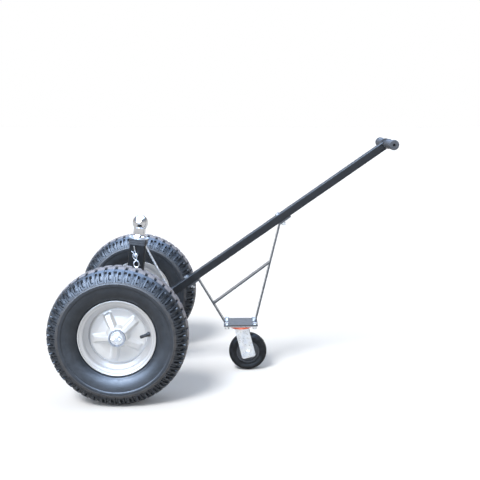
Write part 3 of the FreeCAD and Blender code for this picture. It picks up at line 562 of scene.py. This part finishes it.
def disc(side, matrix):
    """Pressed wheel disc: five raised spokes run into the hub boss, and a flange turns back at the rim."""
    rings = np.concatenate([np.linspace(25.05, 84.0, DISC_RINGS - 3), [85.6, 86.3, 86.45]])
    angles = np.arange(DISC_STEPS) * TAU / DISC_STEPS
    x = np.cos(angles)[:, None] * rings
    z = np.sin(angles)[:, None] * rings
    height = disc_height(x, z)
    height[:, -2] -= 0.6
    height[:, -1] -= 2.4
    front = np.stack([x, -height, z], -1)
    inner_rings = np.minimum(rings, 83.4)
    xb, zb = np.cos(angles)[:, None] * inner_rings, np.sin(angles)[:, None] * inner_rings
    back_height = disc_height(xb, zb) - SHEET
    flange = around([(FLANGE_END, 86.45), (FLANGE_END, 83.6)], angles)
    back = np.stack([xb, -back_height, zb], -1)[:, ::-1][:, 3:]
    points = np.concatenate([front, flange, back], 1)
    rows, columns = points.shape[:2]
    faces = grid_faces(rows, columns, True, True)
    piece = add_object("disc_shell_" + side, points.reshape(-1, 3), faces, matrix, 78)
    stand_for(piece, side + "_wheel", "silver_paint", "wheel_disc_" + side)


def wheel_matrix(side):
    """Wheel centre; the left wheel is turned half round so that both show the same face outward."""
    matrix = Matrix.Translation(JOINTS[side + "_wheel_spin"]["pos_m"])
    return matrix @ Matrix.Rotation(math.pi, 4, "Z") if side == "left" else matrix


# ---------------------------------------------------------------- caster wheel

def caster_tyre():
    """Solid rubber tread with moulded ring lines on its sides."""
    side = [(-16.0, 38.1), (-17.4, 39.0), (-17.6, 43.0), (-17.2, 43.5), (-17.2, 44.3)]
    side += [(-17.7, 44.8), (-18.4, 47.5), (-18.9, 51.0), (-18.9, 53.4), (-18.3, 54.0)]
    side += [(-18.2, 55.0), (-17.2, 57.6), (-15.0, 60.0), (-11.6, 61.9), (-6.0, 63.1)]
    profile = side + [(0.0, 63.5)] + [(-y, r) for y, r in reversed(side)]
    matrix = Matrix.Translation(JOINTS["caster_wheel_spin"]["pos_m"])
    piece = lathe("caster_tread", profile, matrix, 144, 30)
    stand_for(piece, "caster_wheel", "tyre_rubber", "caster_tyre", material="caster_rubber")


# ---------------------------------------------------------------- stage, light, camera

def floor():
    size, steps = 60.0, 4
    line = np.linspace(-size / 2, size / 2, steps)
    points = [(x, y, 0) for x in line for y in line]
    piece = add_object("floor", np.array(points) / MM, grid_faces(steps, steps, False, False), Matrix())
    if piece.data.polygons[0].normal.z < 0:
        piece.data.flip_normals()
    s = Shader("floor_white", (0.9, 0.9, 0.9), 0.8, Specular_IOR_Level=0.0)
    s.put("Base Color", s.mix(s.noise(3, 2), (0.88, 0.88, 0.88), (0.92, 0.92, 0.92)))
    piece.data.materials.append(s.material)


def area_light(name, where, aim, size, power, color=(1, 1, 1)):
    data = bpy.data.lights.new(name, "AREA")
    data.shape, data.size, data.energy, data.color = "DISK", size, power, color
    lamp = bpy.data.objects.new(name, data)
    bpy.context.scene.collection.objects.link(lamp)
    lamp.location = where
    lamp.rotation_euler = (Vector(aim) - Vector(where)).to_track_quat("-Z", "Y").to_euler()
    return lamp


def sky():
    """White at the horizon, so that it meets the floor, soft blue above it and pale overhead."""
    world = bpy.data.worlds.new("studio")
    world.use_nodes = True
    tree = world.node_tree
    direction = tree.nodes.new("ShaderNodeTexCoord").outputs["Generated"]
    split = tree.nodes.new("ShaderNodeSeparateXYZ")
    tree.links.new(direction, split.inputs[0])
    ramp = tree.nodes.new("ShaderNodeValToRGB")
    tree.links.new(split.outputs["Z"], ramp.inputs[0])
    white, blue, overhead = (1.0, 1.0, 1.0), (0.34, 0.40, 0.50), (0.75, 0.78, 0.82)
    stops = ((0.0, white), (0.17, white), (0.45, blue), (1.0, overhead))
    for place, color in stops[1:-1]:
        ramp.color_ramp.elements.new(place).color = (*color, 1)
    for index in (0, -1):
        ramp.color_ramp.elements[index].color = (*stops[index][1], 1)
    tree.links.new(ramp.outputs[0], tree.nodes["Background"].inputs["Color"])
    tree.nodes["Background"].inputs["Strength"].default_value = 1.0
    bpy.context.scene.world = world


def lights():
    sky()
    data = bpy.data.lights.new("key", "SUN")
    data.energy, data.angle, data.color = 2.5, math.radians(20), (1.0, 0.985, 0.96)
    lamp = bpy.data.objects.new("key", data)
    bpy.context.scene.collection.objects.link(lamp)
    lamp.rotation_euler = Vector((0.5, 0.75, -1.2)).to_track_quat("-Z", "Y").to_euler()
    glosses = (("sheen", (-1.5, -3.0, 3.4), 6.4, 3100, (0.55, 0.72, 1.0)),
               ("sky", (-0.4, 0.7, 4.6), 7.4, 2000, (0.42, 0.62, 1.0)))
    for name, where, size, power, color in glosses:
        gloss = area_light(name, where, (-0.3, 0.0, 0.3), size, power, color)
        gloss.visible_diffuse = False


def camera():
    data = bpy.data.cameras.new("camera")
    data.sensor_width, data.lens = 36.0, 53.5
    data.clip_end = 200.0
    eye = bpy.data.objects.new("camera", data)
    bpy.context.scene.collection.objects.link(eye)
    eye.location = (-0.0072, -2.3015, 0.8672)
    eye.rotation_euler = Euler((math.radians(90 - 10.45), 0, math.radians(-1.25)))
    bpy.context.scene.camera = eye
    bpy.context.scene.view_settings.view_transform = "Standard"


for node_name, node_object in NODES.items():
    dress(node_object, LOOK_OF[node_name])
for wheel_side in SIDES:
    placed = wheel_matrix(wheel_side)
    tyre(wheel_side, placed)
    rim(wheel_side, placed)
    disc(wheel_side, placed)
caster_tyre()
floor()
lights()
camera()
